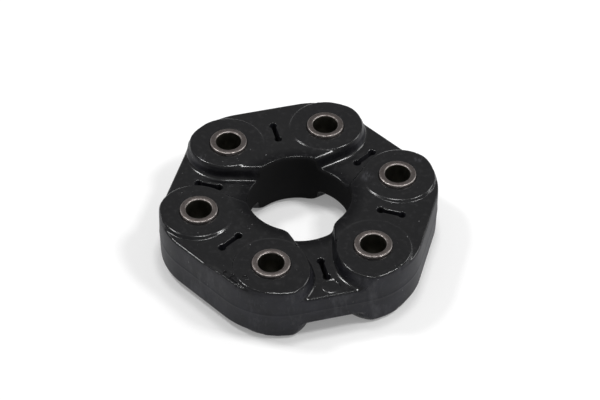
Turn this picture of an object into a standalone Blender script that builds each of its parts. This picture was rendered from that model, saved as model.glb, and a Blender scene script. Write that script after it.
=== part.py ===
"""Flex disc of a driveshaft: six steel sleeves linked by cord loops inside a moulded rubber body.

The shaft axis is +Z. The origin lies on it, halfway through the disc, and a raised side faces +X.
Everything below is in metres. Run with: blender --background --python part.py
"""

import math

import bmesh
import bpy
from mathutils import Matrix, Vector

# Driving dimensions of the whole disc

RAISED_SIDES = 3
BOLT_CIRCLE_RADIUS = 0.048
FIT_GAP = 0.0003

# Steel sleeves

SLEEVE_LENGTH = 0.0306
SLEEVE_RADIUS = 0.0088
SLEEVE_BORE_RADIUS = 0.006
SLEEVE_BORE_CHAMFER = 0.0006

# Rubber body

RAISED_FLAT_DISTANCE = 0.0628
RECESSED_FLAT_DISTANCE = 0.062
BODY_CORNER_RADIUS = 0.035
BODY_RIM_ROUNDING = 0.001
HUB_HOLE_RADIUS = 0.0243
SLEEVE_STANDS_PROUD = 0.0012
BOSS_STEP = 0.0018
RAISED_SIDE_RISE = 0.0014
RECESS_DEPTH = 0.0047
BOSS_OFFSET = 0.0007
BOSS_FOOT_RADIUS = 0.0201
WALL_DRAFT = math.radians(7)
WALL_CROWN_RADIUS = 0.0013
WALL_FOOT_RADIUS = 0.0015
WALL_FOOT_SINK = 0.0003
RIB_ANGLE = math.radians(14)
RAISED_SIDE_SETBACK = math.radians(1)

# Relief slot halfway between two sleeves: two round bulbs joined by a narrow neck

SLOT_INNER_BULB_DISTANCE = 0.0392
SLOT_OUTER_BULB_DISTANCE = 0.0494
SLOT_BULB_RADIUS = 0.0017
SLOT_NECK_WIDTH = 0.0018

# Cord loops and the guide collars that carry them

CORD_THICKNESS = 0.004
CORD_COVER = 0.0019
OUTER_LOOP_HEIGHT = 0.0056
COLLAR_WALL = 0.0012
COLLAR_FLANGE_THICKNESS = 0.001
COLLAR_FLANGE_OVERHANG = 0.0006
COLLAR_HUB_OVERHANG = 0.0004

# Facets of each curve

SLEEVE_STEPS = 24
BOSS_STEPS = 20
COLLAR_STEPS = 18
HUB_HOLE_STEPS = 30
CORNER_STEPS = 6
BULB_STEPS = 6
WALL_CROWN_STEPS = 2
RIM_RESOLUTION = 1
SHARP_ANGLE = math.radians(35)
WELD_DISTANCE = 0.000001

# Materials: name, linear RGB colour, roughness and metallic share

RUBBER = ("rubber", (0.012, 0.012, 0.014), 0.42, 0)
SLEEVE_STEEL = ("sleeve_steel", (0.30, 0.26, 0.24), 0.4, 1)
COLLAR_STEEL = ("collar_steel", (0.36, 0.36, 0.35), 0.45, 1)
CORD = ("cord", (0.55, 0.46, 0.28), 0.8, 0)

# Sizes that follow from the driving dimensions

FULL_TURN = 2 * math.pi
SLEEVE_COUNT = 2 * RAISED_SIDES
HALF_PITCH = math.pi / SLEEVE_COUNT
SLEEVE_HALF = SLEEVE_LENGTH / 2
BOSS_HALF = SLEEVE_HALF - SLEEVE_STANDS_PROUD
RAISED_HALF = BOSS_HALF - BOSS_STEP
RECESS_HALF = RAISED_HALF - RECESS_DEPTH
SLEEVE_SEAT_RADIUS = SLEEVE_RADIUS + FIT_GAP
COLLAR_HUB_RADIUS = SLEEVE_SEAT_RADIUS + COLLAR_WALL
LOOP_INNER_RADIUS = COLLAR_HUB_RADIUS + FIT_GAP
LOOP_OUTER_RADIUS = LOOP_INNER_RADIUS + CORD_THICKNESS
COLLAR_FLANGE_RADIUS = LOOP_OUTER_RADIUS + COLLAR_FLANGE_OVERHANG
OUTER_LOOP_END = RAISED_HALF - CORD_COVER
OUTER_LOOP_START = OUTER_LOOP_END - OUTER_LOOP_HEIGHT
OUTER_LOOP_MIDDLE = (OUTER_LOOP_START + OUTER_LOOP_END) / 2
COLLAR_FLANGE_END = OUTER_LOOP_START - FIT_GAP
COLLAR_FLANGE_START = COLLAR_FLANGE_END - COLLAR_FLANGE_THICKNESS
COLLAR_END = OUTER_LOOP_END + COLLAR_HUB_OVERHANG
MIDDLE_LOOP_HEIGHT = 2 * (COLLAR_FLANGE_START - FIT_GAP)
BOSS_CIRCLE_RADIUS = BOLT_CIRCLE_RADIUS + BOSS_OFFSET
BEYOND_BODY = 2 * RAISED_FLAT_DISTANCE


def clear_scene():
    for obj in list(bpy.data.objects):
        bpy.data.objects.remove(obj, do_unlink=True)


def new_collection(name):
    collection = bpy.data.collections.new(name)
    bpy.context.scene.collection.children.link(collection)
    return collection


def new_material(name, colour, roughness, metallic):
    material = bpy.data.materials.new(name)
    material.use_nodes = True
    shader = material.node_tree.nodes["Principled BSDF"]
    shader.inputs["Base Color"].default_value = (*colour, 1)
    shader.inputs["Roughness"].default_value = roughness
    shader.inputs["Metallic"].default_value = metallic
    material.diffuse_color = (*colour, 1)
    return material


def polar(distance, angle):
    return Vector((distance * math.cos(angle), distance * math.sin(angle)))


def arc(centre, radius, start, end, steps):
    """Points along an arc, both ends included."""
    return [centre + polar(radius, start + (end - start) * i / steps) for i in range(steps + 1)]


def sleeve_angles():
    return [HALF_PITCH * (2 * i + 1) for i in range(SLEEVE_COUNT)]


def raised_angles():
    return [4 * HALF_PITCH * i for i in range(RAISED_SIDES)]


def recessed_angles():
    return [angle + 2 * HALF_PITCH for angle in raised_angles()]


def turned(name, profile, steps, closed=True):
    """The profile, (radius, height) pairs down its outer side, turned round +Z."""
    mesh = bpy.data.meshes.new(name)
    edges = [(i, i + 1) for i in range(len(profile) - 1)]
    if closed:
        edges.append((len(profile) - 1, 0))
    mesh.from_pydata([(radius, 0, height) for radius, height in profile], edges, [])
    obj = bpy.data.objects.new(name, mesh)
    bpy.context.scene.collection.objects.link(obj)
    screw = obj.modifiers.new("Turn", "SCREW")
    screw.steps = steps
    screw.render_steps = steps
    screw.use_merge_vertices = True
    screw.merge_threshold = WELD_DISTANCE
    return obj


def flat_shape(name, outlines, half_height, rounding=0):
    """The area inside the outlines, as thick above the mid-plane as below, with rounded rims."""
    curve = bpy.data.curves.new(name, "CURVE")
    curve.dimensions = "2D"
    curve.fill_mode = "BOTH"
    curve.extrude = half_height - rounding
    curve.bevel_depth = rounding
    curve.bevel_resolution = RIM_RESOLUTION
    curve.offset = -rounding
    for outline in outlines:
        spline = curve.splines.new("POLY")
        spline.points.add(len(outline) - 1)
        for point, place in zip(spline.points, outline):
            point.co = (place.x, place.y, 0, 1)
        spline.use_cyclic_u = True
    obj = bpy.data.objects.new(name, curve)
    bpy.context.scene.collection.objects.link(obj)
    return obj


def stepped_shape(name, outline, wall):
    """The outline raised along a wall of (inset, height) pairs, and mirrored below the mid-plane."""
    cage = bmesh.new()
    top = cage.faces.new([cage.verts.new((point.x, point.y, 0)) for point in outline])
    side = bmesh.ops.extrude_face_region(cage, geom=[top])["geom"]
    raised = [item for item in side if isinstance(item, bmesh.types.BMVert)]
    bmesh.ops.translate(cage, verts=raised, vec=(0, 0, wall[0][1]))
    bmesh.ops.delete(cage, geom=[face for face in cage.faces if face.calc_center_median().z <= 0],
                     context="FACES_ONLY")
    top = max(cage.faces, key=lambda face: face.calc_center_median().z)
    for (inset, height), (next_inset, next_height) in zip(wall, wall[1:]):
        bmesh.ops.inset_region(cage, faces=[top], use_even_offset=True, use_boundary=True,
                               thickness=next_inset - inset, depth=next_height - height)
    mesh = bpy.data.meshes.new(name)
    cage.to_mesh(mesh)
    cage.free()
    obj = bpy.data.objects.new(name, mesh)
    bpy.context.scene.collection.objects.link(obj)
    mirror = obj.modifiers.new("Lower half", "MIRROR")
    mirror.use_axis = (False, False, True)
    mirror.merge_threshold = WELD_DISTANCE
    return obj


def evaluated_mesh(obj):
    """The object's shape with its modifiers applied. The object is removed."""
    evaluated = obj.evaluated_get(bpy.context.evaluated_depsgraph_get())
    mesh = bpy.data.meshes.new_from_object(evaluated)
    bpy.data.objects.remove(obj, do_unlink=True)
    return mesh


def settled_mesh(obj):
    """The object's evaluated shape as one welded mesh that faces out. The object is removed."""
    mesh = evaluated_mesh(obj)
    cage = bmesh.new()
    cage.from_mesh(mesh)
    bmesh.ops.remove_doubles(cage, verts=cage.verts, dist=WELD_DISTANCE)
    bmesh.ops.recalc_face_normals(cage, faces=cage.faces)
    cage.to_mesh(mesh)
    cage.free()
    return mesh


def placed(mesh, places, collection, name):
    """One object that holds a copy of the mesh at each (location, turn) pair."""
    cage = bmesh.new()
    for location, turn in places:
        first = len(cage.verts)
        cage.from_mesh(mesh)
        cage.verts.ensure_lookup_table()
        matrix = Matrix.Translation(location.to_3d()) @ Matrix.Rotation(turn, 4, "Z")
        bmesh.ops.transform(cage, matrix=matrix, verts=cage.verts[first:])
    joined = bpy.data.meshes.new(name)
    cage.to_mesh(joined)
    cage.free()
    obj = bpy.data.objects.new(name, joined)
    collection.objects.link(obj)
    return obj


def boolean(obj, other, operation):
    modifier = obj.modifiers.new(f"{operation.title()} {other.name}", "BOOLEAN")
    modifier.operation = operation
    modifier.solver = "MANIFOLD"
    modifier.object = other


def body_outline():
    """Hexagon whose corners are round, seen along the shaft, a little wider at the raised sides."""
    pitch = 2 * HALF_PITCH
    along = RAISED_FLAT_DISTANCE - BODY_CORNER_RADIUS
    across = (RECESSED_FLAT_DISTANCE - BODY_CORNER_RADIUS - along * math.cos(pitch)) / math.sin(pitch)
    distance = math.hypot(along, across)
    turn = math.atan2(across, along)
    outline = []
    for angle in raised_angles():
        after = angle + 2 * pitch
        outline += arc(polar(distance, angle + turn), BODY_CORNER_RADIUS, angle, angle + pitch, CORNER_STEPS)
        outline += arc(polar(distance, after - turn), BODY_CORNER_RADIUS, after - pitch, after, CORNER_STEPS)
    return outline


def body_level(name, half_height):
    """The body's outline round its hub hole, as thick as one level of its faces."""
    hub_hole = arc(Vector((0, 0)), HUB_HOLE_RADIUS, 0, FULL_TURN, HUB_HOLE_STEPS)[:-1]
    level = flat_shape(name, [body_outline(), hub_hole], half_height, BODY_RIM_ROUNDING)
    return settled_mesh(level)


def raised_wall(top):
    """(inset, height) pairs up a moulded wall: foot fillet, drafted wall and rounded crown."""
    slope = math.pi / 2 - WALL_DRAFT
    radii = WALL_FOOT_RADIUS + WALL_CROWN_RADIUS
    straight_rise = top - RECESS_HALF - radii * (1 - math.cos(slope))
    run = radii * math.sin(slope) + straight_rise / math.tan(slope)
    foot = [
        (0, RECESS_HALF - WALL_FOOT_SINK),
        (WALL_FOOT_RADIUS * math.sin(slope), RECESS_HALF + WALL_FOOT_RADIUS * (1 - math.cos(slope))),
    ]
    crown = []
    for i in range(WALL_CROWN_STEPS + 1):
        angle = slope * (1 - i / WALL_CROWN_STEPS)
        crown.append((run - WALL_CROWN_RADIUS * math.sin(angle),
                      top - WALL_CROWN_RADIUS * (1 - math.cos(angle))))
    return foot + crown


def raised_side_outline():
    """Foot of one raised side, at +X. Its flanks run off each boss in a straight line to the hub."""
    flank = 2 * HALF_PITCH + RIB_ANGLE
    boss = polar(BOSS_CIRCLE_RADIUS, HALF_PITCH)
    facet_distance = BOSS_FOOT_RADIUS * math.cos(math.pi / BOSS_STEPS)
    leaves_boss = boss + polar(facet_distance, flank + math.pi / 2)
    in_hub_hole = Vector((leaves_boss.x - leaves_boss.y / math.tan(flank), 0))
    outside = polar(BEYOND_BODY, HALF_PITCH - RAISED_SIDE_SETBACK)
    upper = [outside, leaves_boss]
    lower = [Vector((point.x, -point.y)) for point in reversed(upper)]
    return [*upper, in_hub_hole, *lower]


def slot_outline():
    """Two round bulbs and the neck between them, along +X."""
    half_opening = math.asin(SLOT_NECK_WIDTH / 2 / SLOT_BULB_RADIUS)
    inner = Vector((SLOT_INNER_BULB_DISTANCE, 0))
    outer = Vector((SLOT_OUTER_BULB_DISTANCE, 0))
    around_inner = arc(inner, SLOT_BULB_RADIUS, half_opening, FULL_TURN - half_opening, BULB_STEPS)
    around_outer = arc(outer, SLOT_BULB_RADIUS, half_opening - math.pi, math.pi - half_opening, BULB_STEPS)
    return around_inner + around_outer


def track_outline(radius):
    """Belt round two neighbouring sleeves, whose middle is at +X."""
    half_turn = COLLAR_STEPS // 2
    first = polar(BOLT_CIRCLE_RADIUS, -HALF_PITCH)
    second = polar(BOLT_CIRCLE_RADIUS, HALF_PITCH)
    return arc(first, radius, -math.pi, 0, half_turn) + arc(second, radius, 0, math.pi, half_turn)


def sleeve_mesh():
    chamfer_start = SLEEVE_HALF - SLEEVE_BORE_CHAMFER
    mouth = SLEEVE_BORE_RADIUS + SLEEVE_BORE_CHAMFER
    profile = [
        (SLEEVE_RADIUS, SLEEVE_HALF),
        (SLEEVE_RADIUS, -SLEEVE_HALF),
        (mouth, -SLEEVE_HALF),
        (SLEEVE_BORE_RADIUS, -chamfer_start),
        (SLEEVE_BORE_RADIUS, chamfer_start),
        (mouth, SLEEVE_HALF),
    ]
    return settled_mesh(turned("steel_sleeve", profile, SLEEVE_STEPS))


def collar_mesh():
    """Upper guide collar: a hub under two cord loops, with the flange between them."""
    hub_start = FIT_GAP / 2
    profile = [
        (SLEEVE_SEAT_RADIUS, COLLAR_END),
        (COLLAR_HUB_RADIUS, COLLAR_END),
        (COLLAR_HUB_RADIUS, COLLAR_FLANGE_END),
        (COLLAR_FLANGE_RADIUS, COLLAR_FLANGE_END),
        (COLLAR_FLANGE_RADIUS, COLLAR_FLANGE_START),
        (COLLAR_HUB_RADIUS, COLLAR_FLANGE_START),
        (COLLAR_HUB_RADIUS, hub_start),
        (SLEEVE_SEAT_RADIUS, hub_start),
    ]
    return settled_mesh(turned("guide_collar", profile, COLLAR_STEPS))


def loop_mesh(name, height):
    outlines = [track_outline(LOOP_OUTER_RADIUS), track_outline(LOOP_INNER_RADIUS)]
    return settled_mesh(flat_shape(name, outlines, height / 2))


def boss_mesh():
    """Solid boss round one sleeve, with its moulded wall at both ends."""
    upper = [(BOSS_FOOT_RADIUS - inset, height) for inset, height in reversed(raised_wall(BOSS_HALF))]
    lower = [(radius, -height) for radius, height in reversed(upper)]
    profile = [(0, BOSS_HALF), *upper, *lower, (0, -BOSS_HALF)]
    return settled_mesh(turned("boss", profile, BOSS_STEPS, closed=False))


def sleeve_seat_mesh():
    """The bore that holds a sleeve."""
    profile = [
        (0, SLEEVE_HALF),
        (SLEEVE_SEAT_RADIUS, SLEEVE_HALF),
        (SLEEVE_SEAT_RADIUS, -SLEEVE_HALF),
        (0, -SLEEVE_HALF),
    ]
    return settled_mesh(turned("sleeve_seat", profile, SLEEVE_STEPS, closed=False))


def collar_room_mesh():
    """What a sleeve's two collars take out of the rubber."""
    hub = COLLAR_HUB_RADIUS + FIT_GAP
    flange = COLLAR_FLANGE_RADIUS + FIT_GAP
    upper = [
        (0, COLLAR_END + FIT_GAP),
        (hub, COLLAR_END + FIT_GAP),
        (hub, COLLAR_FLANGE_END + FIT_GAP),
        (flange, COLLAR_FLANGE_END + FIT_GAP),
        (flange, COLLAR_FLANGE_START - FIT_GAP),
        (hub, COLLAR_FLANGE_START - FIT_GAP),
    ]
    lower = [(radius, -height) for radius, height in reversed(upper)]
    return settled_mesh(turned("collar_room", upper + lower, COLLAR_STEPS, closed=False))


def loop_channel_mesh(name, height):
    """What a cord loop takes out of the rubber."""
    outlines = [track_outline(LOOP_OUTER_RADIUS + FIT_GAP), track_outline(LOOP_INNER_RADIUS - FIT_GAP)]
    return settled_mesh(flat_shape(name, outlines, height / 2 + FIT_GAP))


def at_axis(angles):
    return [(Vector((0, 0)), angle) for angle in angles]


def at_sleeves():
    return [(polar(BOLT_CIRCLE_RADIUS, angle), angle + HALF_PITCH) for angle in sleeve_angles()]


def at_bosses():
    return [(polar(BOSS_CIRCLE_RADIUS, angle), angle) for angle in sleeve_angles()]


def lifted(obj, height):
    obj.location.z = height
    return obj


def loop_channels(helpers):
    """Cutters for the cord loops: two levels at the raised sides and one at the recessed sides."""
    outer = loop_channel_mesh("outer_channel", OUTER_LOOP_HEIGHT)
    middle = loop_channel_mesh("middle_channel", MIDDLE_LOOP_HEIGHT)
    raised = at_axis(raised_angles())
    return [
        lifted(placed(outer, raised, helpers, "upper_channels"), OUTER_LOOP_MIDDLE),
        lifted(placed(outer, raised, helpers, "lower_channels"), -OUTER_LOOP_MIDDLE),
        placed(middle, at_axis(recessed_angles()), helpers, "middle_channels"),
    ]


def rise_towards_hub(mesh):
    """Tilts the faces of the raised side at +X, so that they are highest at the hub hole."""
    for vertex in mesh.vertices:
        above = abs(vertex.co.z) - RECESS_HALF
        share = (RAISED_FLAT_DISTANCE - vertex.co.x) / (RAISED_FLAT_DISTANCE - HUB_HOLE_RADIUS)
        if above > 0:
            lift = above * share * RAISED_SIDE_RISE / RECESS_DEPTH
            vertex.co.z += math.copysign(lift, vertex.co.z)


def raised_sides(helpers):
    shape = settled_mesh(stepped_shape("raised_side", raised_side_outline(), raised_wall(RAISED_HALF)))
    side = placed(shape, at_axis([0]), helpers, "raised_side")
    limits = placed(body_level("raised_level", RAISED_HALF), at_axis([0]), helpers, "raised_level")
    boolean(side, limits, "INTERSECT")
    mesh = settled_mesh(side)
    rise_towards_hub(mesh)
    return placed(mesh, at_axis(raised_angles()), helpers, "raised_sides")


def bosses(helpers):
    rounds = placed(boss_mesh(), at_bosses(), helpers, "bosses")
    limits = placed(body_level("boss_level", BOSS_HALF), at_axis([0]), helpers, "boss_level")
    boolean(rounds, limits, "INTERSECT")
    return rounds


def slots(helpers):
    shape = settled_mesh(flat_shape("slot", [slot_outline()], SLEEVE_HALF))
    return placed(shape, at_axis(raised_angles() + recessed_angles()), helpers, "slots")


def make_rubber_body(parts, helpers):
    rough = placed(body_level("recessed_level", RECESS_HALF), at_axis([0]), helpers, "rough_body")
    for form in (raised_sides(helpers), bosses(helpers)):
        boolean(rough, form, "UNION")
    seats = placed(sleeve_seat_mesh(), at_sleeves(), helpers, "sleeve_seats")
    rooms = placed(collar_room_mesh(), at_sleeves(), helpers, "collar_rooms")
    for cutter in (seats, rooms, *loop_channels(helpers), slots(helpers)):
        boolean(rough, cutter, "DIFFERENCE")
    mesh = evaluated_mesh(rough)
    mesh.materials.clear()
    mesh.materials.append(new_material(*RUBBER))
    parts.objects.link(bpy.data.objects.new("rubber_body", mesh))


def add_copies(name, mesh, places, parts, height=0, flipped=False):
    """One object for each place, which share the mesh."""
    for number, (location, turn) in enumerate(places, start=1):
        obj = bpy.data.objects.new(f"{name}_{number}", mesh)
        obj.location = (location.x, location.y, height)
        obj.rotation_euler = (math.pi if flipped else 0, 0, turn)
        parts.objects.link(obj)


def make_sleeves(parts):
    mesh = sleeve_mesh()
    mesh.materials.append(new_material(*SLEEVE_STEEL))
    add_copies("steel_sleeve", mesh, at_sleeves(), parts)


def make_collars(parts):
    mesh = collar_mesh()
    mesh.materials.append(new_material(*COLLAR_STEEL))
    add_copies("guide_collar_upper", mesh, at_sleeves(), parts)
    add_copies("guide_collar_lower", mesh, at_sleeves(), parts, flipped=True)


def make_cord_loops(parts):
    cord = new_material(*CORD)
    outer = loop_mesh("outer_loop", OUTER_LOOP_HEIGHT)
    outer.materials.append(cord)
    middle = loop_mesh("middle_loop", MIDDLE_LOOP_HEIGHT)
    middle.materials.append(cord)
    raised = at_axis(raised_angles())
    add_copies("cord_loop_upper", outer, raised, parts, height=OUTER_LOOP_MIDDLE)
    add_copies("cord_loop_lower", outer, raised, parts, height=-OUTER_LOOP_MIDDLE)
    add_copies("cord_loop_middle", middle, at_axis(recessed_angles()), parts)


def main():
    clear_scene()
    parts = new_collection("flex_disc")
    helpers = new_collection("helpers")
    make_rubber_body(parts, helpers)
    make_sleeves(parts)
    make_collars(parts)
    make_cord_loops(parts)
    for obj in list(helpers.objects):
        bpy.data.objects.remove(obj, do_unlink=True)
    bpy.data.collections.remove(helpers)
    for mesh in {obj.data for obj in parts.objects}:
        mesh.shade_smooth()
        mesh.set_sharp_from_angle(angle=SHARP_ANGLE)


main()
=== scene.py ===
"""Looks of the driveshaft flex disc: finely moulded rubber, turned steel sleeves, a pale studio.

Everything is in metres in the frame of the solids: the shaft axis is +Z and a raised side faces +X.
"""

import math

import bpy
import numpy as np
from mathutils import Matrix, Vector, geometry, kdtree, noise


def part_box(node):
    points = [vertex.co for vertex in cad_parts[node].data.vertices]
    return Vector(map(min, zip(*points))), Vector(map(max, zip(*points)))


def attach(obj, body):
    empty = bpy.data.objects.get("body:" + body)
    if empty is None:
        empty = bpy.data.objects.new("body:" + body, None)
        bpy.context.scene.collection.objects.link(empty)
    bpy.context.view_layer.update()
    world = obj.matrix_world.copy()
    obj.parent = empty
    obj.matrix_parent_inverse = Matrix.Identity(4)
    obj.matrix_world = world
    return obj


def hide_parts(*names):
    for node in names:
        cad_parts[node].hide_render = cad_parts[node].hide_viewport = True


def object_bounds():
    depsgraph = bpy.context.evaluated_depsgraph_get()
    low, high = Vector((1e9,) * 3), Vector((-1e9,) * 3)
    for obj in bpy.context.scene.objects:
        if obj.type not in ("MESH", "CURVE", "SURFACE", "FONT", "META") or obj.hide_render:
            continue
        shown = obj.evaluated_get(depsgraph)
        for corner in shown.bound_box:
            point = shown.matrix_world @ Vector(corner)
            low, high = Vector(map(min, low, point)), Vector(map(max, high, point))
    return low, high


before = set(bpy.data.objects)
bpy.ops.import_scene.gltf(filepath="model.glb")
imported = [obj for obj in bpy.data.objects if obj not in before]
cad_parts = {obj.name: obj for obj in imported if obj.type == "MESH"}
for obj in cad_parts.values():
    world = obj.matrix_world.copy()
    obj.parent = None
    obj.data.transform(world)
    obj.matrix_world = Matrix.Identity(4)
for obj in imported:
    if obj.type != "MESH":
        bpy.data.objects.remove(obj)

CAD_LOW, CAD_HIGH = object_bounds()

# Camera of the photograph

CAMERA_AZIMUTH = math.radians(14.813)
CAMERA_ELEVATION = math.radians(44.41)
CAMERA_ROLL = math.radians(0.601)
CAMERA_DISTANCE = 0.976112
CAMERA_LENS = 126.02
CAMERA_SENSOR = 36
CAMERA_TARGET = Vector((0.002012, -0.005754, CAD_HIGH.z))

# Sizes of the rubber body: those of the solids, but its bosses and walls follow the photograph

RAISED_SIDES = 3
PITCH = math.tau / (2 * RAISED_SIDES)
BOLT_CIRCLE_RADIUS = 0.048
RAISED_FLAT_DISTANCE = 0.0628
RECESSED_FLAT_DISTANCE = 0.062
BODY_CORNER_RADIUS = 0.035
HUB_HOLE_RADIUS = 0.0243
BOSS_HALF = 0.0141
RAISED_HALF = 0.0123
RAISED_SIDE_RISE = 0.0014
RECESS_HALF = 0.0076
BOSS_CIRCLE_RADIUS = 0.0487
BOSS_FOOT_RADIUS = 0.0206
BOSS_STEP_STARTS = 0.0027
BOSS_STEP_RUN = 0.0012
WALL_SLOPE = math.radians(83)
WALL_CROWN_RADIUS = 0.0031
WALL_FOOT_RADIUS = 0.0023
RIB_ANGLE = math.radians(14)
SLOT_INNER_BULB_DISTANCE = 0.0392
SLOT_OUTER_BULB_DISTANCE = 0.0494
SLOT_BULB_RADIUS = 0.00175
SLOT_NECK_HALF = 0.00105

# How far the bosses are drawn out to the rim: more beside the recess nearest the camera

NEAR_RECESS = math.radians(300)
NEAR_STRETCH = 0.0032
FAR_STRETCH = 0.001
STRETCH_FADE = 0.008

# Finish of the moulding that the solids leave out

SIDE_INSET = 0.0003
HUB_INSET = 0.0002
PARTING_RIDGE = 0.00015
PARTING_RIDGE_WIDTH = 0.0004
RIM_ROUNDING = 0.0009
HUB_RIM_ROUNDING = 0.0011
SLOT_RIM_ROUNDING = 0.00045
SEAT_RADIUS = 0.0089
SEAT_RIM_ROUNDING = 0.0004
BOSS_BLEND = 0.0005
BLEND_STARTS = 0.0108
BLEND_FULL = 0.0121
NO_BLEND = 1e-9
WAVINESS = 0.00004
WAVE_SIZE = 0.009
WAVES_ABOVE = 3.5
WAVES_BELOW = 9.5

# Marks of use and of the mould, each found in one place only

LIP_SIDE = math.radians(240)
LIP_PLACES = (0.001, 0.004, 0.0095, 0.0146, 0.0187, 0.0216, 0.0245, 0.029)
LIP_HEIGHTS = (0, 0.0006, 0.0015, 0.0021, 0.0017, 0.0014, 0.0005, 0)
LIP_WIDTH = 0.002
LIP_RAGGED_SIZE = 0.0016
LIP_RAGGED_SHARE = 0.15
LIP_RAGGED_PLACE = (7.5, 0.5)
LIP_NICK = 0.0223
LIP_NICK_WIDTH = 0.0005
LIP_NICK_SHARE = 0.9
PAD_PLACE = (0.028, -0.0479)
PAD_RING_RADIUS = 0.0039
PAD_RING_WIDTH = 0.0003
PAD_RING_HEIGHT = 0.00022
NUB_PLACE = (0.0279, -0.0437)
NUB_RADIUS = 0.00045
NUB_HEIGHT = 0.0004
NUB_SHARPNESS = 2

# Each curl of flash: (middle, radius, first angle, last angle)

CURLS = (
    ((-0.0151, -0.0592, 0.0133), 0.0011, 0.5, 4.9),
    ((-0.0118, -0.0600, 0.0136), 0.0008, 2.2, 6.9),
    ((-0.0088, -0.0596, 0.0141), 0.0013, -0.6, 2.9),
    ((-0.0188, -0.0572, 0.0130), 0.0007, 1.0, 4.2),
)
CURL_RADIUS = 0.0002
CURL_TAPER = 0.6
CURL_OPENING = 0.3
CURL_RISE = 0.0006
CURL_STEPS = 12
CURL_SIDES = 6

# Each pale smear: (middle, reach)

SMEARS = (
    ((0.0279, 0.0195, 0.0135), 0.0042),
    ((-0.0507, 0.0106, 0.0141), 0.0038),
    ((0.0487, 0.0383, 0.0141), 0.0035),
)

# Spacing of the mesh

RIM_SPACING = 0.0008
ROW_SPACING = 0.0009
SLOT_SPACING = 0.0004
FILL_SPACING = 0.0016
FILL_CLEARANCE = 0.0007
ROW_CLEARANCE = 0.00008
MERGE_DISTANCE = 1e-8
DENSE_STEPS = 6000
OUTLINE_STEPS = 12 * DENSE_STEPS
FLANK_REACH = 0.03
ROW_BEFORE_FOOT = -0.0006
FOOT_STEPS = 5
WALL_STEPS = 6
CROWN_STEPS = 6
SIDE_ROWS = (0.9, 0.72, 0.5, 0.28, 0.1, 0.03, 0)
HUB_ROWS = (0.85, 0.5, 0.2, 0)
ROUNDING_ROWS = (0, 0.06, 0.2, 0.42, 0.7, 1.05)
LIP_ROWS = (0.0013, 0.0019)
PAD_ROWS = (-2, -1, -0.4, 0.4, 1, 2)
NUB_ROWS = (0.4, 0.8, 1.3)


def polar(distance, angle):
    """The place at this distance and angle from the axis."""
    return np.array((distance * math.cos(angle), distance * math.sin(angle)))


BOSS = polar(BOSS_CIRCLE_RADIUS, PITCH / 2)
BOSS_WAY = polar(1, PITCH)
SLEEVE = polar(BOLT_CIRCLE_RADIUS, PITCH / 2)
FLANK_WAY = polar(1, PITCH + RIB_ANGLE)
FLANK_INWARD = polar(1, PITCH + RIB_ANGLE - math.pi / 2)
FLANK_START = BOSS - BOSS_FOOT_RADIUS * FLANK_INWARD
CORNER_ALONG = RAISED_FLAT_DISTANCE - BODY_CORNER_RADIUS
CORNER_ACROSS = (
    RECESSED_FLAT_DISTANCE - BODY_CORNER_RADIUS - CORNER_ALONG * math.cos(PITCH)
) / math.sin(PITCH)


# Heights of the rubber body's upper face


def folded(x, y):
    """Places turned and mirrored into the half raised side next to +X, as (along, across)."""
    turn = np.abs((np.arctan2(y, x) + PITCH) % (2 * PITCH) - PITCH)
    distance = np.hypot(x, y)
    return distance * np.cos(turn), distance * np.sin(turn)


def rounded_drop(inset, radius):
    """How far a rounded rim lies below its face, this far in from the edge."""
    left = radius - np.clip(inset, 0, radius)
    return radius - np.sqrt(radius**2 - left**2)


def outline_inset(along, across):
    """Distance in from the body's outline."""
    turn = np.arctan2(across - CORNER_ACROSS, along - CORNER_ALONG)
    corner = BODY_CORNER_RADIUS - np.hypot(along - CORNER_ALONG, across - CORNER_ACROSS)
    raised = RAISED_FLAT_DISTANCE - along
    recessed = RECESSED_FLAT_DISTANCE - along * math.cos(PITCH) - across * math.sin(PITCH)
    return np.where(turn < 0, raised, np.where(turn > PITCH, recessed, corner)) - SIDE_INSET


def hub_inset(x, y):
    """Distance out from the edge of the hub hole."""
    return np.hypot(x, y) - HUB_HOLE_RADIUS - HUB_INSET


def seat_inset(along, across):
    """Distance out from the edge of a sleeve's seat."""
    return np.hypot(along - SLEEVE[0], across - SLEEVE[1]) - SEAT_RADIUS


def slot_inset(along, across):
    """Distance out from the nearest slot, which lies along the middle of its side."""
    on_raised = across < along * math.tan(PITCH / 2)
    way = along * math.cos(PITCH) + across * math.sin(PITCH)
    off = along * math.sin(PITCH) - across * math.cos(PITCH)
    way = np.where(on_raised, along, way)
    off = np.abs(np.where(on_raised, across, off))
    inner = np.hypot(way - SLOT_INNER_BULB_DISTANCE, off) - SLOT_BULB_RADIUS
    outer = np.hypot(way - SLOT_OUTER_BULB_DISTANCE, off) - SLOT_BULB_RADIUS
    past = np.maximum(SLOT_INNER_BULB_DISTANCE - way, way - SLOT_OUTER_BULB_DISTANCE)
    neck = np.maximum(off - SLOT_NECK_HALF, past)
    return np.minimum(np.minimum(inner, outer), neck)


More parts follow.
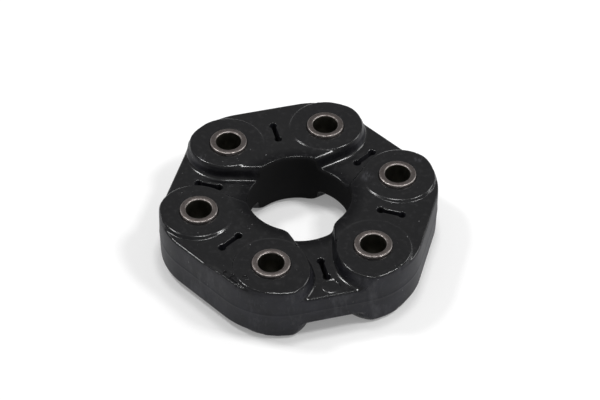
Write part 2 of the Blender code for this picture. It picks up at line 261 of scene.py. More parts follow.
def wall_height(inset, top):
    """Height of a moulded wall: foot fillet, drafted wall, rounded crown, then the flat top."""
    foot_run = WALL_FOOT_RADIUS * math.sin(WALL_SLOPE)
    foot_rise = WALL_FOOT_RADIUS * (1 - math.cos(WALL_SLOPE))
    crown_run = WALL_CROWN_RADIUS * math.sin(WALL_SLOPE)
    crown_rise = WALL_CROWN_RADIUS * (1 - math.cos(WALL_SLOPE))
    wall_rise = top - RECESS_HALF - foot_rise - crown_rise
    crown_start = foot_run + wall_rise / math.tan(WALL_SLOPE)
    end = crown_start + crown_run
    run = np.clip(inset, 0, end)
    foot_drop = np.sqrt(WALL_FOOT_RADIUS**2 - np.minimum(run, foot_run) ** 2)
    foot = RECESS_HALF + WALL_FOOT_RADIUS - foot_drop
    wall = RECESS_HALF + foot_rise + (run - foot_run) * math.tan(WALL_SLOPE)
    left = np.clip(end - run, 0, WALL_CROWN_RADIUS)
    crown = top - WALL_CROWN_RADIUS + np.sqrt(WALL_CROWN_RADIUS**2 - left**2)
    return np.where(run < foot_run, foot, np.where(run < crown_start, wall, crown))


def stretch_at(x, y):
    """How far the bosses are drawn out here."""
    to_near = x * math.cos(NEAR_RECESS) + y * math.sin(NEAR_RECESS)
    return np.where(to_near > np.hypot(x, y) * math.cos(PITCH), NEAR_STRETCH, FAR_STRETCH)


def boss_inset(along, across, stretch):
    """Distance into a boss from its foot. The circle is drawn out to the rim of the recess."""
    way, off = along - BOSS[0], across - BOSS[1]
    out = np.clip(way * BOSS_WAY[0] + off * BOSS_WAY[1], 0, stretch)
    to_raised_side = way * BOSS_WAY[1] - off * BOSS_WAY[0]
    out = out * np.clip(1 - to_raised_side / STRETCH_FADE, 0, 1)
    return BOSS_FOOT_RADIUS - np.hypot(way - out * BOSS_WAY[0], off - out * BOSS_WAY[1])


def flank_inset(along, across, stretch):
    """Distance into the raised side from the foot of its flank, which bends round the boss."""
    from_start = along - FLANK_START[0], across - FLANK_START[1]
    flank = from_start[0] * FLANK_INWARD[0] + from_start[1] * FLANK_INWARD[1]
    way = from_start[0] * FLANK_WAY[0] + from_start[1] * FLANK_WAY[1]
    on_boss = (way > 0) & (across > along * math.tan(PITCH / 2))
    return np.where(on_boss, boss_inset(along, across, stretch), flank)


def face_height(x, y):
    """Height of the upper face over the mid-plane, without the rounding of its rims."""
    along, across = folded(x, y)
    stretch = stretch_at(x, y)
    inward = (RAISED_FLAT_DISTANCE - along) / (RAISED_FLAT_DISTANCE - HUB_HOLE_RADIUS)
    raised_top = RAISED_HALF + RAISED_SIDE_RISE * inward
    raised = wall_height(flank_inset(along, across, stretch), raised_top)
    into_boss = boss_inset(along, across, stretch)
    boss = wall_height(into_boss, BOSS_HALF)
    step = np.clip((into_boss - BOSS_STEP_STARTS) / BOSS_STEP_RUN, 0, 1)
    step = raised + (BOSS_HALF - raised) * step**2 * (3 - 2 * step)
    on_side = np.clip((raised - BLEND_STARTS) / (BLEND_FULL - BLEND_STARTS), 0, 1)
    boss = boss + (step - boss) * on_side
    blend = BOSS_BLEND * on_side + NO_BLEND
    overlap = np.clip(blend - np.abs(raised - boss), 0, None)
    return np.maximum(raised, boss) + overlap**2 / (4 * blend)


def top_height(x, y):
    """Height of the finished upper face."""
    along, across = folded(x, y)
    height = face_height(x, y)
    height = height - rounded_drop(outline_inset(along, across), RIM_ROUNDING)
    height = height - rounded_drop(hub_inset(x, y), HUB_RIM_ROUNDING)
    height = height - rounded_drop(slot_inset(along, across), SLOT_RIM_ROUNDING)
    return height - rounded_drop(seat_inset(along, across), SEAT_RIM_ROUNDING)


def torn_lip(x, y):
    """Ragged fin of moulding flash that stands on the rim of one raised side."""
    edge_inset = outline_inset(*folded(x, y))
    across = y * math.cos(LIP_SIDE) - x * math.sin(LIP_SIDE)
    height = np.interp(across, LIP_PLACES, LIP_HEIGHTS, 0, 0)
    rough = np.array([noise.noise((a / LIP_RAGGED_SIZE, *LIP_RAGGED_PLACE)) for a in across])
    nick = np.exp(-(((across - LIP_NICK) / LIP_NICK_WIDTH) ** 2))
    near = np.exp(-((np.clip(edge_inset, 0, None) / LIP_WIDTH) ** 2))
    facing = x * math.cos(LIP_SIDE) + y * math.sin(LIP_SIDE) > 0
    return height * (1 + LIP_RAGGED_SHARE * rough) * (1 - LIP_NICK_SHARE * nick) * near * facing


def small_marks(x, y):
    """The bare ring of the round pad, and a nub beside the slot, on the near recess."""
    ring = (np.hypot(x - PAD_PLACE[0], y - PAD_PLACE[1]) - PAD_RING_RADIUS) / PAD_RING_WIDTH
    nub = np.hypot(x - NUB_PLACE[0], y - NUB_PLACE[1]) / NUB_RADIUS
    return PAD_RING_HEIGHT * np.exp(-(ring**2)) + NUB_HEIGHT * np.exp(-(nub**2) * NUB_SHARPNESS)


def waviness(x, y, seed):
    """Slight unevenness of a moulded face."""
    waves = [noise.noise((px / WAVE_SIZE, py / WAVE_SIZE, seed)) for px, py in zip(x, y)]
    return np.array(waves) * WAVINESS


# Lines of points that the mesh of the face follows


def arc(centre, radius, start, end):
    """A dense arc as an array of places."""
    turns = np.linspace(start, end, DENSE_STEPS)
    return np.stack((centre[0] + radius * np.cos(turns), centre[1] + radius * np.sin(turns)), 1)


def circle(centre, radius):
    """A dense circle whose last place lies one step before its first."""
    return arc(centre, radius, 0, math.tau * (1 - 1 / DENSE_STEPS))


def resampled(line, total, wanted):
    """Places at the wanted lengths along a line whose points lie at the total lengths."""
    return np.stack([np.interp(wanted, total, line[:, axis]) for axis in (0, 1)], 1)


def joined(line, count):
    """A closed line with its straight joins filled in densely."""
    closed = np.vstack((line, line[:1]))
    total = np.concatenate(([0], np.cumsum(np.hypot(*np.diff(closed, axis=0).T))))
    return resampled(closed, total, np.linspace(0, total[-1], count, endpoint=False))


def spaced(line, spacing, closed=True):
    """The line resampled, with points as close in height as they are in plan."""
    steps = np.diff(line, axis=0, append=line[:1])
    heights = face_height(line[:, 0], line[:, 1])
    rises = np.diff(heights, append=heights[:1])
    lengths = np.sqrt((steps**2).sum(1) + rises**2)
    if closed:
        line = np.vstack((line, line[:1]))
    else:
        lengths = lengths[:-1]
    total = np.concatenate(([0], np.cumsum(lengths)))
    count = max(3, round(total[-1] / spacing))
    wanted = np.linspace(0, total[-1], count + 1)
    return resampled(line, total, wanted[:-1] if closed else wanted)


def turned(points, angle):
    """The points turned about the axis."""
    cos, sin = math.cos(angle), math.sin(angle)
    return points @ np.array(((cos, sin), (-sin, cos)))


def mirrored(points):
    """The line mirrored in the XZ plane and run backwards, so that it keeps its sense."""
    return points[::-1] * (1, -1)


def at_sides(points):
    """Copies of the points at all six sides."""
    return [turned(points, PITCH * i) for i in range(2 * RAISED_SIDES)]


def rounding_rows(radius):
    """Insets at which a rounded rim of this radius has a row of points."""
    return [radius * share for share in ROUNDING_ROWS]


def outline_loop(inset):
    """The body's outline, moved in, anticlockwise."""
    radius = BODY_CORNER_RADIUS - SIDE_INSET - inset
    corner = arc((CORNER_ALONG, CORNER_ACROSS), radius, 0, PITCH)
    side = np.vstack((mirrored(corner), corner))
    loop = np.vstack([turned(side, 2 * PITCH * i) for i in range(RAISED_SIDES)])
    return spaced(joined(loop, OUTLINE_STEPS), RIM_SPACING)


def hub_loop(outset):
    """Edge of the hub hole, moved out."""
    return spaced(circle((0, 0), HUB_HOLE_RADIUS + HUB_INSET + outset), RIM_SPACING)


def seat_loop(outset):
    """Edge of the first sleeve's seat, moved out."""
    ring = circle(polar(BOLT_CIRCLE_RADIUS, 0), SEAT_RADIUS + outset)
    return turned(spaced(ring, RIM_SPACING), PITCH / 2)


def slot_loop(outset):
    """Edge of the slot along +X, moved out: two bulbs and the neck between them."""
    radius = SLOT_BULB_RADIUS + outset
    opening = math.asin(min(1, (SLOT_NECK_HALF + outset) / radius))
    inner = arc((SLOT_INNER_BULB_DISTANCE, 0), radius, opening, math.tau - opening)
    outer = arc((SLOT_OUTER_BULB_DISTANCE, 0), radius, opening - math.pi, math.pi - opening)
    return spaced(joined(np.vstack((inner, outer)), DENSE_STEPS), SLOT_SPACING)


def edge_rows():
    """(edges of the face, the rows that follow them), all of them closed loops."""
    outline = [outline_loop(inset) for inset in (*rounding_rows(RIM_ROUNDING), *LIP_ROWS)]
    hub = [hub_loop(outset) for outset in rounding_rows(HUB_RIM_ROUNDING)]
    seats = [at_sides(seat_loop(outset)) for outset in rounding_rows(SEAT_RIM_ROUNDING)]
    slots = [at_sides(slot_loop(outset)) for outset in rounding_rows(SLOT_RIM_ROUNDING)]
    edges = [outline[0], hub[0], *seats[0], *slots[0]]
    rows = outline[1:] + hub[1:]
    for loops in (*seats[1:], *slots[1:]):
        rows += loops
    return edges, rows


def wall_rows():
    """Insets at which a wall's profile bends, from foot to crown."""
    foot = [WALL_FOOT_RADIUS * math.sin(WALL_SLOPE * i / FOOT_STEPS) for i in range(FOOT_STEPS + 1)]
    run = foot[-1] + (BOSS_HALF - RECESS_HALF) / math.tan(WALL_SLOPE)
    wall = [foot[-1] + (run - foot[-1]) * i / WALL_STEPS for i in range(1, WALL_STEPS)]
    crown = [run + WALL_CROWN_RADIUS * i / CROWN_STEPS for i in range(CROWN_STEPS + 2)]
    return [ROW_BEFORE_FOOT, *foot, *wall, *crown]


def boss_loop(radius, stretch):
    """A line round one boss at this distance from its middle, drawn out towards the recess."""
    start, end = PITCH - math.pi / 3, PITCH + math.pi / 2
    near = arc(BOSS, radius, end, start + math.tau)
    far = arc(BOSS + stretch * BOSS_WAY, radius, start, end)
    return np.vstack((near, far))


def boss_rows(stretch):
    """Lines of points that follow the walls of the boss and the flank next to +X."""
    rows = []
    steps = np.linspace(0, FLANK_REACH, DENSE_STEPS)
    for inset in wall_rows():
        rows.append(spaced(boss_loop(BOSS_FOOT_RADIUS - inset, stretch), ROW_SPACING))
        start = FLANK_START + inset * FLANK_INWARD
        flank = spaced(start - steps[:, None] * FLANK_WAY, ROW_SPACING, closed=False)
        rows.append(flank[flank[:, 1] > 0])
    return rows


def mark_rows():
    """Rings of points that follow the small marks."""
    pad = [
        spaced(arc(PAD_PLACE, PAD_RING_RADIUS + PAD_RING_WIDTH * i, 0, math.tau), SLOT_SPACING)
        for i in PAD_ROWS
    ]
    nub = [spaced(arc(NUB_PLACE, NUB_RADIUS * i, 0, math.tau), NUB_RADIUS / 2) for i in NUB_ROWS]
    return pad + nub


def inner_rows():
    """Lines of points inside the face that follow its walls and marks."""
    near, far = boss_rows(NEAR_STRETCH), boss_rows(FAR_STRETCH)
    placed = []
    for i in range(RAISED_SIDES):
        side = 2 * PITCH * i
        before_near = math.isclose(side + PITCH, NEAR_RECESS)
        after_near = math.isclose(side - PITCH, NEAR_RECESS - math.tau)
        placed += [turned(row, side) for row in (near if before_near else far)]
        placed += [turned(mirrored(row), side) for row in (near if after_near else far)]
    return placed + mark_rows()


# Mesh of the rubber body


def inside(points, clearance):
    """Which points lie on the face, at least this far from its edges."""
    x, y = points[:, 0], points[:, 1]
    along, across = folded(x, y)
    room = np.minimum(outline_inset(along, across), hub_inset(x, y))
    room = np.minimum(room, seat_inset(along, across))
    room = np.minimum(room, slot_inset(along, across))
    return room > clearance


def fill_points():
    """A lattice of equal triangles over the whole body."""
    reach = BOSS_CIRCLE_RADIUS + BOSS_FOOT_RADIUS
    step = FILL_SPACING * math.sin(math.radians(60))
    count = round(reach / step)
    points = [
        ((column + (row % 2) / 2) * FILL_SPACING, row * step)
        for row in range(-count, count + 1)
        for column in range(-count, count + 1)
    ]
    return np.array(points)


def thinned(groups):
    """All groups of points as one list, without those too near a point of an earlier group."""
    kept = []
    for points, clearance in groups:
        if kept:
            tree = kdtree.KDTree(len(kept))
            for i, place in enumerate(kept):
                tree.insert((*place, 0), i)
            tree.balance()
            points = [p for p in points if tree.find((*p, 0))[2] > clearance]
        kept.extend(map(tuple, points))
    return kept


def face_plan():
    """The face's triangles in plan: (places, triangles, edges as loops of place numbers)."""
    edges, rows = edge_rows()
    rim_rows = np.vstack(rows)
    walls = np.vstack(inner_rows())
    fill = fill_points()
    margin = ROW_CLEARANCE / 2
    points = thinned([
        (np.vstack(edges), 0),
        (rim_rows[inside(rim_rows, margin)], ROW_CLEARANCE),
        (walls[inside(walls, margin)], ROW_CLEARANCE),
        (fill[inside(fill, FILL_CLEARANCE)], FILL_CLEARANCE),
    ])
    loops, first = [], 0
    for edge in edges:
        loops.append(list(range(first, first + len(edge))))
        first += len(edge)
    lines = [(loop[i - 1], loop[i]) for loop in loops for i in range(len(loop))]
    places, _, triangles, origin, _, _ = geometry.delaunay_2d_cdt(
        [Vector(p) for p in points], lines, [], 0, MERGE_DISTANCE)
    places = np.array([tuple(p) for p in places])
    triangles = np.array(triangles)
    triangles = triangles[inside(places[triangles].mean(1), 0)]
    number = {old: new for new, olds in enumerate(origin) for old in olds}
    return places, triangles, [[number[i] for i in loop] for loop in loops]


def facing_up(places, triangles):
    """The triangles with their corners anticlockwise in plan."""
    corners = places[triangles]
    spans = corners[:, 1:] - corners[:, :1]
    turn = spans[:, 0, 0] * spans[:, 1, 1] - spans[:, 0, 1] * spans[:, 1, 0]
    return np.where(turn[:, None] > 0, triangles, triangles[:, ::-1])


def face_points(places, heights, loops):
    """Points of the upper face, then of the lower one. Their waviness leaves out the edges."""
    x, y = places[:, 0], places[:, 1]
    free = np.ones(len(places))
    free[[i for loop in loops for i in loop]] = 0
    upper = heights + waviness(x, y, WAVES_ABOVE) * free
    upper += torn_lip(x, y) + small_marks(x, y)
    lower = -heights + waviness(x, y, WAVES_BELOW) * free
    return np.vstack((np.column_stack((places, upper)), np.column_stack((places, lower))))


def outward(points):
    """Unit vectors out of a closed loop of places, to its right as it runs anticlockwise."""
    ways = np.roll(points, -1, 0) - np.roll(points, 1, 0)
    ways /= np.linalg.norm(ways, axis=1)[:, None]
    return np.stack((ways[:, 1], -ways[:, 0]), 1)


def side_bulge(share, height):
    """How far the side stands out of its rim's edge at a share of the rim's height."""
    ridge = PARTING_RIDGE * np.exp(-((share * height / PARTING_RIDGE_WIDTH) ** 2))
    return (SIDE_INSET - PARTING_RIDGE) * (1 - share**2) + ridge


def hub_bulge(share, height):
    """The same for the wall of the hub hole."""
    return np.full_like(height, -HUB_INSET * (1 - share**2))


def straight(share, height):
    """The same for the walls of the slots and seats, which are plain."""
    return np.zeros_like(height)


def wall_rings(line, height, shares, bulge):
    """Rings of points down a wall, at these shares of the rim's height and their mirror image."""
    out = outward(line)
    return [
        np.column_stack((line + out * bulge(share, height)[:, None], share * height))
        for share in (*shares, *[-share for share in reversed(shares) if share > 0])
    ]


def wall_faces(rings, outer):
    """Quads between each ring of point numbers and the next, turned in unless the wall is outer."""
    quads = [
        (above[i - 1], below[i - 1], below[i], above[i])
        for above, below in zip(rings, rings[1:])
        for i in range(len(above))
    ]
    return quads if outer else [quad[::-1] for quad in quads]


def curl_mesh(middle, radius, start, end):
    """A loose curl of flash: (points, faces) of a thin bent strand that rises at its end."""
    points, faces = [], []
    for step in range(CURL_STEPS + 1):
        share = step / CURL_STEPS
        turn = start + (end - start) * share
        thickness = CURL_RADIUS * (1 - CURL_TAPER * share)
        for side in range(CURL_SIDES):
            round_turn = math.tau * side / CURL_SIDES
            reach = radius * (1 + CURL_OPENING * share) + thickness * math.cos(round_turn)
            points.append((
                middle[0] + reach * math.cos(turn),
                middle[1] + reach * math.sin(turn),
                middle[2] + CURL_RISE * share**2 + thickness * math.sin(round_turn),
            ))
    for step in range(CURL_STEPS):
        for side in range(CURL_SIDES):
            after = (side + 1) % CURL_SIDES
            near, far = step * CURL_SIDES, (step + 1) * CURL_SIDES
            faces.append((near + side, far + side, far + after, near + after))
    last_ring = range(CURL_STEPS * CURL_SIDES, len(points))
    faces += [tuple(range(CURL_SIDES)), tuple(reversed(last_ring))]
    return np.array(points), faces


def rubber_body():
    """Height-field faces above and below, joined by the walls of all their edges, and the curls."""
    places, triangles, loops = face_plan()
    triangles = facing_up(places, triangles)
    heights = top_height(places[:, 0], places[:, 1])
    count = len(places)
    points = [face_points(places, heights, loops)]
    faces = [*triangles, *(triangles[:, ::-1] + count)]
    total = 2 * count
    plain_walls = [((0,), straight)] * (len(loops) - 2)
    walls = [(SIDE_ROWS, side_bulge), (HUB_ROWS, hub_bulge), *plain_walls]
    for number, (loop, (shares, bulge)) in enumerate(zip(loops, walls)):
        rings = [loop]
        for ring in wall_rings(places[loop], heights[loop], shares, bulge):
            rings.append(range(total, total + len(ring)))
            points.append(ring)
            total += len(ring)
        rings.append([i + count for i in loop])
        faces += wall_faces(rings, outer=number == 0)
    for curl in CURLS:
        strand, skin = curl_mesh(*curl)
        faces += [tuple(total + i for i in face) for face in skin]
        points.append(strand)
        total += len(strand)
    mesh = bpy.data.meshes.new("moulded_rubber_body")
    mesh.from_pydata(np.vstack(points).tolist(), [], [tuple(map(int, face)) for face in faces])
    mesh.shade_smooth()
    return mesh


# Turned sleeves

SLEEVE_STEPS = 96
SLEEVE_OUTER_CHAMFER = 0.0003
SLEEVE_BORE_CHAMFER = 0.0004
SLEEVE_EDGE_BREAK = 0.00008
SLEEVE_BORE_RADIUS = 0.006
SLEEVE_RADIUS = 0.0088
SLEEVE_SHARP_ANGLE = math.radians(30)
FACE_MIDDLE = (SLEEVE_RADIUS + SLEEVE_BORE_RADIUS) / 2


def sleeve_profile(half):
    """(radius, height) pairs round the section of a sleeve, from its outer chamfer to its bore."""
    edge = SLEEVE_EDGE_BREAK
    outer = SLEEVE_RADIUS - SLEEVE_OUTER_CHAMFER
    mouth = SLEEVE_BORE_RADIUS + SLEEVE_BORE_CHAMFER
    upper = [
        (SLEEVE_RADIUS, half - SLEEVE_OUTER_CHAMFER - edge),
        (SLEEVE_RADIUS - edge / 2, half - SLEEVE_OUTER_CHAMFER + edge / 2),
        (outer + edge / 2, half - edge / 2),
        (outer - edge, half),
        (mouth + edge, half),
        (mouth - edge / 2, half - edge / 2),
        (SLEEVE_BORE_RADIUS + edge / 2, half - SLEEVE_BORE_CHAMFER + edge / 2),
        (SLEEVE_BORE_RADIUS, half - SLEEVE_BORE_CHAMFER - edge),
    ]
    return upper + [(radius, -height) for radius, height in reversed(upper)]


def sleeve_mesh(node_name):
    """A finely turned sleeve in the place of its node."""
    low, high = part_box(node_name)
    middle = (low + high) / 2
    profile = sleeve_profile((high.z - low.z) / 2)
    rings = len(profile)
    points, faces = [], []
    for step in range(SLEEVE_STEPS):
        turn = math.tau * step / SLEEVE_STEPS
        points += [
            (middle.x + r * math.cos(turn), middle.y + r * math.sin(turn), middle.z + h)
            for r, h in profile
        ]
        here, after = step * rings, (step + 1) % SLEEVE_STEPS * rings
        for i in range(rings):
            below = (i + 1) % rings
            faces.append((here + i, here + below, after + below, after + i))
    mesh = bpy.data.meshes.new(f"turned_{node_name}")
    mesh.from_pydata(points, [], faces)
    mesh.shade_smooth()
    mesh.set_sharp_from_angle(angle=SLEEVE_SHARP_ANGLE)
    return mesh


# Building blocks of the materials


def new_material(name, base, roughness, metallic=0, specular=0.5):
    """A node material: (material, its node tree, its shader)."""
    material = bpy.data.materials.new(name)
    material.use_nodes = True
    tree = material.node_tree
    shader = tree.nodes["Principled BSDF"]
    shader.inputs["Base Color"].default_value = (*base, 1)
    shader.inputs["Roughness"].default_value = roughness
    shader.inputs["Metallic"].default_value = metallic
    shader.inputs["Specular IOR Level"].default_value = specular
    return material, tree, shader


def node(tree, kind, inputs=None, **settings):
    """A new node. Each of its inputs is given as a value or as another node's output."""
    made = tree.nodes.new(kind)
    for name, value in settings.items():
        setattr(made, name, value)
    for name, value in (inputs or {}).items():
        socket = made.inputs[name]
        if isinstance(value, bpy.types.NodeSocket):
            tree.links.new(value, socket)
        else:
            socket.default_value = value
    return made


def object_place(tree):
    """The place on the object, in metres."""
    return node(tree, "ShaderNodeTexCoord").outputs["Object"]


def math_value(tree, operation, *values):
    """The result of one sum on numbers."""
    made = node(tree, "ShaderNodeMath", dict(enumerate(values)), operation=operation)
    return made.outputs["Value"]


def multiply(tree, first, second):
    """The product of two numbers."""
    return math_value(tree, "MULTIPLY", first, second)


def scaled(tree, place, factors):
    """The place with each of its coordinates multiplied."""
    made = node(tree, "ShaderNodeVectorMath", {0: place, 1: factors}, operation="MULTIPLY")
    return made.outputs["Vector"]


def length(tree, vector):
    """The length of a vector."""
    return node(tree, "ShaderNodeVectorMath", {0: vector}, operation="LENGTH").outputs["Value"]


def distance_to(tree, place, middle):
    """The distance of the place from a middle."""
    made = node(tree, "ShaderNodeVectorMath", {0: place, 1: middle}, operation="DISTANCE")
    return made.outputs["Value"]


def noise_value(tree, place, scale, detail, roughness):
    """Cloudy noise round a half."""
    inputs = {"Vector": place, "Scale": scale, "Detail": detail, "Roughness": roughness}
    return node(tree, "ShaderNodeTexNoise", inputs).outputs["Fac"]


def ramp(tree, value, low, high, start=0, end=1):
    """The value's share of the way from low to high, as a number between start and end."""
    inputs = {"Value": value, "From Min": low, "From Max": high, "To Min": start, "To Max": end}
    return node(tree, "ShaderNodeMapRange", inputs).outputs["Result"]


def mixed(tree, share, first, second):
    """The first colour with a share of the second."""
    made = node(tree, "ShaderNodeMix", data_type="RGBA")
    for index, value in ((0, share), (6, first), (7, second)):
        if isinstance(value, bpy.types.NodeSocket):
            tree.links.new(value, made.inputs[index])
        else:
            made.inputs[index].default_value = (*value, 1)
    return made.outputs[2]


def bumped(tree, shader, height, distance, strength, before=None):
    """Relief on the shader, over the relief before it."""
    inputs = {"Height": height, "Distance": distance, "Strength": strength}
    if before is not None:
        inputs["Normal"] = before
    made = node(tree, "ShaderNodeBump", inputs)
    tree.links.new(made.outputs["Normal"], shader.inputs["Normal"])
    return made.outputs["Normal"]


# Materials

RUBBER_BLACK = (0.0045, 0.0045, 0.0052)
# Painted light and dust: the lighter, bluish colour of the steep outer walls
PAINTED_SIDE_LIGHT_AND_DUST = (0.0165, 0.0168, 0.023)
RUBBER_HUB = (0.019, 0.019, 0.0195)
RUBBER_SCUFF = (0.06, 0.06, 0.068)
RUBBER_DUST = (0.055, 0.054, 0.056)
CRUMB = (0.5, 0.5, 0.5)
CRUMB_REACH = (0.00065, 0.00045)
TOP_SHINE = (0.6, 0.6, 0.6)
WALL_SHINE = (0.22, 0.22, 0.22)
HUB_SHINE = (0, 0, 0)
WALL_ROUGHNESS = (0.5, 0.5, 0.5)
HUB_WALL_ENDS = (0.0248, 0.0256)
HUB_RIM_ENDS = (0.032, 0.027)
OUTER_SIDE_STARTS = (0.044, 0.053)
FLANK_SHARE = 0.3


def rubber_colour(tree, place, steep, outer):
    """Black rubber, under painted light and dust that make the steep outer walls lighter and bluish
    in cloudy patches, and under scuffs, smears, a crumb, dust and specks.
    """
    # painted light and dust: steep walls, most of all the outer side, made lighter and bluish in
    # cloudy patches
    clouds = noise_value(tree, place, 90, 5, 0.6)
    side_light_and_dust_share = multiply(tree, steep, ramp(tree, clouds, 0.3, 0.62, 0.35, 1))
    colour = mixed(tree, multiply(tree, side_light_and_dust_share, outer), RUBBER_BLACK, PAINTED_SIDE_LIGHT_AND_DUST)
    scuffs = noise_value(tree, scaled(tree, place, (1, 1, 0.35)), 75, 7, 0.72)
    scuff_share = ramp(tree, scuffs, 0.53, 0.68, 0, 0.8)
    scuff_share = multiply(tree, multiply(tree, steep, outer), scuff_share)
    colour = mixed(tree, scuff_share, colour, RUBBER_SCUFF)
    streaks = noise_value(tree, scaled(tree, place, (1, 0.3, 1)), 700, 5, 0.7)
    smear_share = ramp(tree, streaks, 0.46, 0.68)
    for middle, reach in SMEARS:
        near = ramp(tree, distance_to(tree, place, middle), reach, reach / 3, 0, 0.75)
        colour = mixed(tree, multiply(tree, near, smear_share), colour, RUBBER_SCUFF)
    from_crumb = distance_to(tree, place, (*NUB_PLACE, RECESS_HALF))
    colour = mixed(tree, ramp(tree, from_crumb, *CRUMB_REACH), colour, CRUMB)
    dust = noise_value(tree, place, 420, 6, 0.7)
    colour = mixed(tree, ramp(tree, dust, 0.52, 0.8, 0, 0.35), colour, RUBBER_DUST)
    specks = noise_value(tree, place, 1150, 2, 0.4)
    return mixed(tree, ramp(tree, specks, 0.775, 0.8, 0, 0.6), colour, CRUMB)


def rubber_material():
    """Satin moulded rubber: glossier faces, dull walls and a dull hub."""
    material, tree, shader = new_material("moulded_rubber", RUBBER_BLACK, 0.32)
    place = object_place(tree)
    normal = node(tree, "ShaderNodeNewGeometry").outputs["Normal"]
    upright = node(tree, "ShaderNodeSeparateXYZ", {"Vector": normal}).outputs["Z"]
    steep = ramp(tree, math_value(tree, "ABSOLUTE", upright), 0.75, 0.25)
    from_axis = length(tree, scaled(tree, place, (1, 1, 0)))
    outside = ramp(tree, from_axis, *HUB_WALL_ENDS)
    in_hub = multiply(tree, ramp(tree, outside, 0, 1, 1, 0), steep)
    wall = multiply(tree, steep, outside)
    outer = multiply(tree, outside, ramp(tree, from_axis, *OUTER_SIDE_STARTS, FLANK_SHARE, 1))
    colour = mixed(tree, in_hub, rubber_colour(tree, place, steep, outer), RUBBER_HUB)
    tree.links.new(colour, shader.inputs["Base Color"])
    shine = mixed(tree, wall, TOP_SHINE, WALL_SHINE)
    shine = mixed(tree, ramp(tree, from_axis, *HUB_RIM_ENDS), shine, WALL_SHINE)
    shine = mixed(tree, in_hub, shine, HUB_SHINE)
    tree.links.new(shine, shader.inputs["Specular IOR Level"])
    satin = ramp(tree, noise_value(tree, place, 160, 4, 0.6), 0.3, 0.7, 0.14, 0.25)
    tree.links.new(mixed(tree, wall, satin, WALL_ROUGHNESS), shader.inputs["Roughness"])
    coarse = bumped(tree, shader, noise_value(tree, place, 350, 3, 0.5), 0.0001, 0.16)
    bumped(tree, shader, noise_value(tree, place, 2600, 3, 0.6), 0.00002, 0.14, coarse)
    return material


STEEL_COLOUR = (0.19, 0.168, 0.16)
# Painted highlight on the chamfered edges of each sleeve's face
STEEL_PAINTED_HIGHLIGHT = (0.42, 0.385, 0.37)
STEEL_DARK = (0.09, 0.075, 0.068)
BORE_COLOUR = (0.13, 0.125, 0.105)
BORE_STARTS = (SLEEVE_BORE_RADIUS + 0.0002, SLEEVE_BORE_RADIUS + 0.00005)
EDGE_HIGHLIGHT_STARTS = (0.0008, 0.0011)
TURNING_WAVES = 42000


def sleeve_material(name, middle):
    """Turned steel with a highlight painted on its chamfered edges, a brown tarnish, a darker bore
    and fine turned rings.
    """
    material, tree, shader = new_material(name, STEEL_COLOUR, 0.38, metallic=1)
    place = object_place(tree)
    axis = (middle.x, middle.y, 0)
    off = node(tree, "ShaderNodeVectorMath", {0: place, 1: axis}, operation="SUBTRACT")
    radius = length(tree, scaled(tree, off.outputs["Vector"], (1, 1, 0)))
    from_middle = math_value(tree, "ABSOLUTE", math_value(tree, "SUBTRACT", radius, FACE_MIDDLE))
    stain = noise_value(tree, place, 520, 5, 0.7)
    # painted highlight: the chamfers round the face are coloured brighter
    edge_highlight_share = ramp(tree, from_middle, *EDGE_HIGHLIGHT_STARTS)
    colour = mixed(tree, edge_highlight_share, STEEL_COLOUR, STEEL_PAINTED_HIGHLIGHT)
    colour = mixed(tree, ramp(tree, stain, 0.44, 0.64, 0, 0.85), colour, STEEL_DARK)
    colour = mixed(tree, ramp(tree, radius, *BORE_STARTS), colour, BORE_COLOUR)
    tree.links.new(colour, shader.inputs["Base Color"])
    tree.links.new(ramp(tree, stain, 0.35, 0.7, 0.3, 0.55), shader.inputs["Roughness"])
    rings = math_value(tree, "SINE", multiply(tree, radius, TURNING_WAVES))
    rings = bumped(tree, shader, rings, 0.00001, 0.5)
    bumped(tree, shader, noise_value(tree, place, 1400, 3, 0.6), 0.00003, 0.4, rings)
    return material


COLLAR_COLOUR = (0.36, 0.36, 0.35)
COLLAR_STAIN = (0.2, 0.19, 0.17)


def collar_material():
    """Pressed steel of the guide collars inside."""
    material, tree, shader = new_material("pressed_collar_steel", COLLAR_COLOUR, 0.45, metallic=1)
    place = object_place(tree)
    stain = noise_value(tree, place, 240, 5, 0.6)
    colour = mixed(tree, ramp(tree, stain, 0.4, 0.7), COLLAR_COLOUR, COLLAR_STAIN)
    tree.links.new(colour, shader.inputs["Base Color"])
    tree.links.new(ramp(tree, stain, 0.3, 0.7, 0.35, 0.55), shader.inputs["Roughness"])
    bumped(tree, shader, noise_value(tree, place, 1500, 3, 0.6), 0.00003, 0.4)
    return material


CORD_COLOUR = (0.55, 0.46, 0.28)
CORD_GROOVE = (0.40, 0.32, 0.18)
CORD_STRAND = (0.60, 0.50, 0.31)
CORD_STAIN = (0.30, 0.24, 0.14)


def cord_material():
    """Wound cord: fine strands one above the other, with a dry fibrous sheen."""
    material, tree, shader = new_material("wound_cord", CORD_COLOUR, 0.8, specular=0.25)
    place = object_place(tree)
    inputs = {"Vector": place, "Scale": 480, "Distortion": 1.5, "Detail": 2}
    strands = node(tree, "ShaderNodeTexWave", inputs, bands_direction="Z").outputs["Fac"]
    tint = noise_value(tree, place, 600, 4, 0.6)
    colour = mixed(tree, strands, CORD_GROOVE, CORD_STRAND)
    colour = mixed(tree, ramp(tree, tint, 0.4, 0.7, 0, 0.4), colour, CORD_STAIN)
    tree.links.new(colour, shader.inputs["Base Color"])
    bumped(tree, shader, strands, 0.0002, 0.6)
    return material


# The object


def linked(name, data):
    """A new object in the scene."""
    made = bpy.data.objects.new(name, data)
    bpy.context.scene.collection.objects.link(made)
    return made


def add_piece(name, mesh, node_name, material):
    """A piece of the object that stands for one node of the solids."""
    piece = linked(name, mesh)
    mesh.materials.append(material)
    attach(piece, "root")
    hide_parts(node_name)


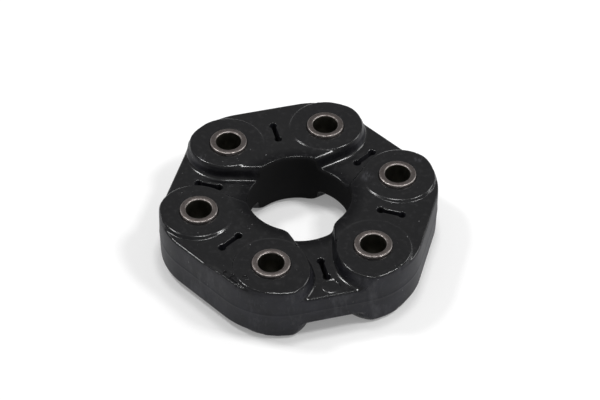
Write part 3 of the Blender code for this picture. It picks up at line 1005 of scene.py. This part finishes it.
def dress_object():
    """New pieces for the rubber and the sleeves, and materials for the solids inside."""
    add_piece("moulded_rubber_body", rubber_body(), "rubber_body", rubber_material())
    inner = {"guide_collar": collar_material(), "cord_loop": cord_material()}
    for name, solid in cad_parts.items():
        if name.startswith("steel_sleeve"):
            low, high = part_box(name)
            material = sleeve_material(f"turned_steel_{name[-1]}", (low + high) / 2)
            add_piece(f"turned_{name}", sleeve_mesh(name), name, material)
        for start, material in inner.items():
            if name.startswith(start):
                solid.data.materials.clear()
                solid.data.materials.append(material)


# Studio

FLOOR_SIZE = 6
FLOOR_COLOUR = (0.8, 0.8, 0.8)
FLOOR_GLOW = 0.22
WHITE = (1, 1, 1, 1)
WORLD_STRENGTH = 0.26
LAMP_AIM = Vector((0, 0, 0))

# Each soft box: (name, place, size, power)

SOFT_BOXES = (
    ("overhead_box", (0, 0.1, 1), (0.16, 0.16), 2.8),
    ("left_high_box", (-0.52, 0.05, 0.82), (0.18, 0.18), 3),
    ("right_high_box", (0.52, 0.05, 0.82), (0.18, 0.18), 3),
    ("right_back_box", (0.75, 0.45, 0.45), (0.35, 0.3), 1.5),
)


def stage_floor():
    """A pale floor under the sleeves that looks white but keeps the shadow."""
    mesh = bpy.data.meshes.new("studio_floor")
    half = FLOOR_SIZE / 2
    corners = [(x * half, y * half, CAD_LOW.z) for x, y in ((-1, -1), (1, -1), (1, 1), (-1, 1))]
    mesh.from_pydata(corners, [], [(0, 1, 2, 3)])
    floor = linked("studio_floor", mesh)
    material, tree, shader = new_material("pale_floor", FLOOR_COLOUR, 0.9, specular=0.1)
    paths = node(tree, "ShaderNodeLightPath").outputs
    shown = math_value(tree, "MAXIMUM", paths["Is Camera Ray"], paths["Is Glossy Ray"])
    tree.links.new(multiply(tree, shown, FLOOR_GLOW), shader.inputs["Emission Strength"])
    shader.inputs["Emission Color"].default_value = WHITE
    mesh.materials.append(material)


def surrounding():
    """A white world that the camera sees at full strength and that lights the object softly."""
    made = bpy.data.worlds.new("studio")
    made.use_nodes = True
    tree = made.node_tree
    background = tree.nodes["Background"]
    background.inputs["Color"].default_value = WHITE
    paths = node(tree, "ShaderNodeLightPath").outputs
    strength = ramp(tree, paths["Is Camera Ray"], 0, 1, WORLD_STRENGTH, 1)
    tree.links.new(strength, background.inputs["Strength"])
    bpy.context.scene.world = made


def soft_box(name, place, size, power):
    """A rectangular lamp that points at the middle of the disc."""
    lamp = bpy.data.lights.new(name, "AREA")
    lamp.shape = "RECTANGLE"
    lamp.size, lamp.size_y = size
    lamp.energy = power
    box = linked(name, lamp)
    box.location = place
    box.rotation_euler = (LAMP_AIM - Vector(place)).to_track_quat("-Z", "Y").to_euler()


def photo_camera():
    """The camera that was fitted to the photograph."""
    lens = bpy.data.cameras.new("photo_camera")
    lens.lens = CAMERA_LENS
    lens.sensor_width = CAMERA_SENSOR
    lens.clip_start = 0.01
    lens.clip_end = 50
    away = Vector((
        math.sin(CAMERA_AZIMUTH) * math.cos(CAMERA_ELEVATION),
        -math.cos(CAMERA_AZIMUTH) * math.cos(CAMERA_ELEVATION),
        math.sin(CAMERA_ELEVATION),
    ))
    right = (-away).cross(Vector((0, 0, 1))).normalized()
    over = right.cross(-away)
    rolled_right = math.cos(CAMERA_ROLL) * right + math.sin(CAMERA_ROLL) * over
    rolled_over = math.cos(CAMERA_ROLL) * over - math.sin(CAMERA_ROLL) * right
    turn = Matrix((rolled_right, rolled_over, away)).transposed().to_4x4()
    made = linked("photo_camera", lens)
    made.matrix_world = Matrix.Translation(CAMERA_TARGET + away * CAMERA_DISTANCE) @ turn
    bpy.context.scene.camera = made


dress_object()
stage_floor()
surrounding()
for soft_box_values in SOFT_BOXES:
    soft_box(*soft_box_values)
photo_camera()
bpy.context.scene.view_settings.view_transform = "Standard"
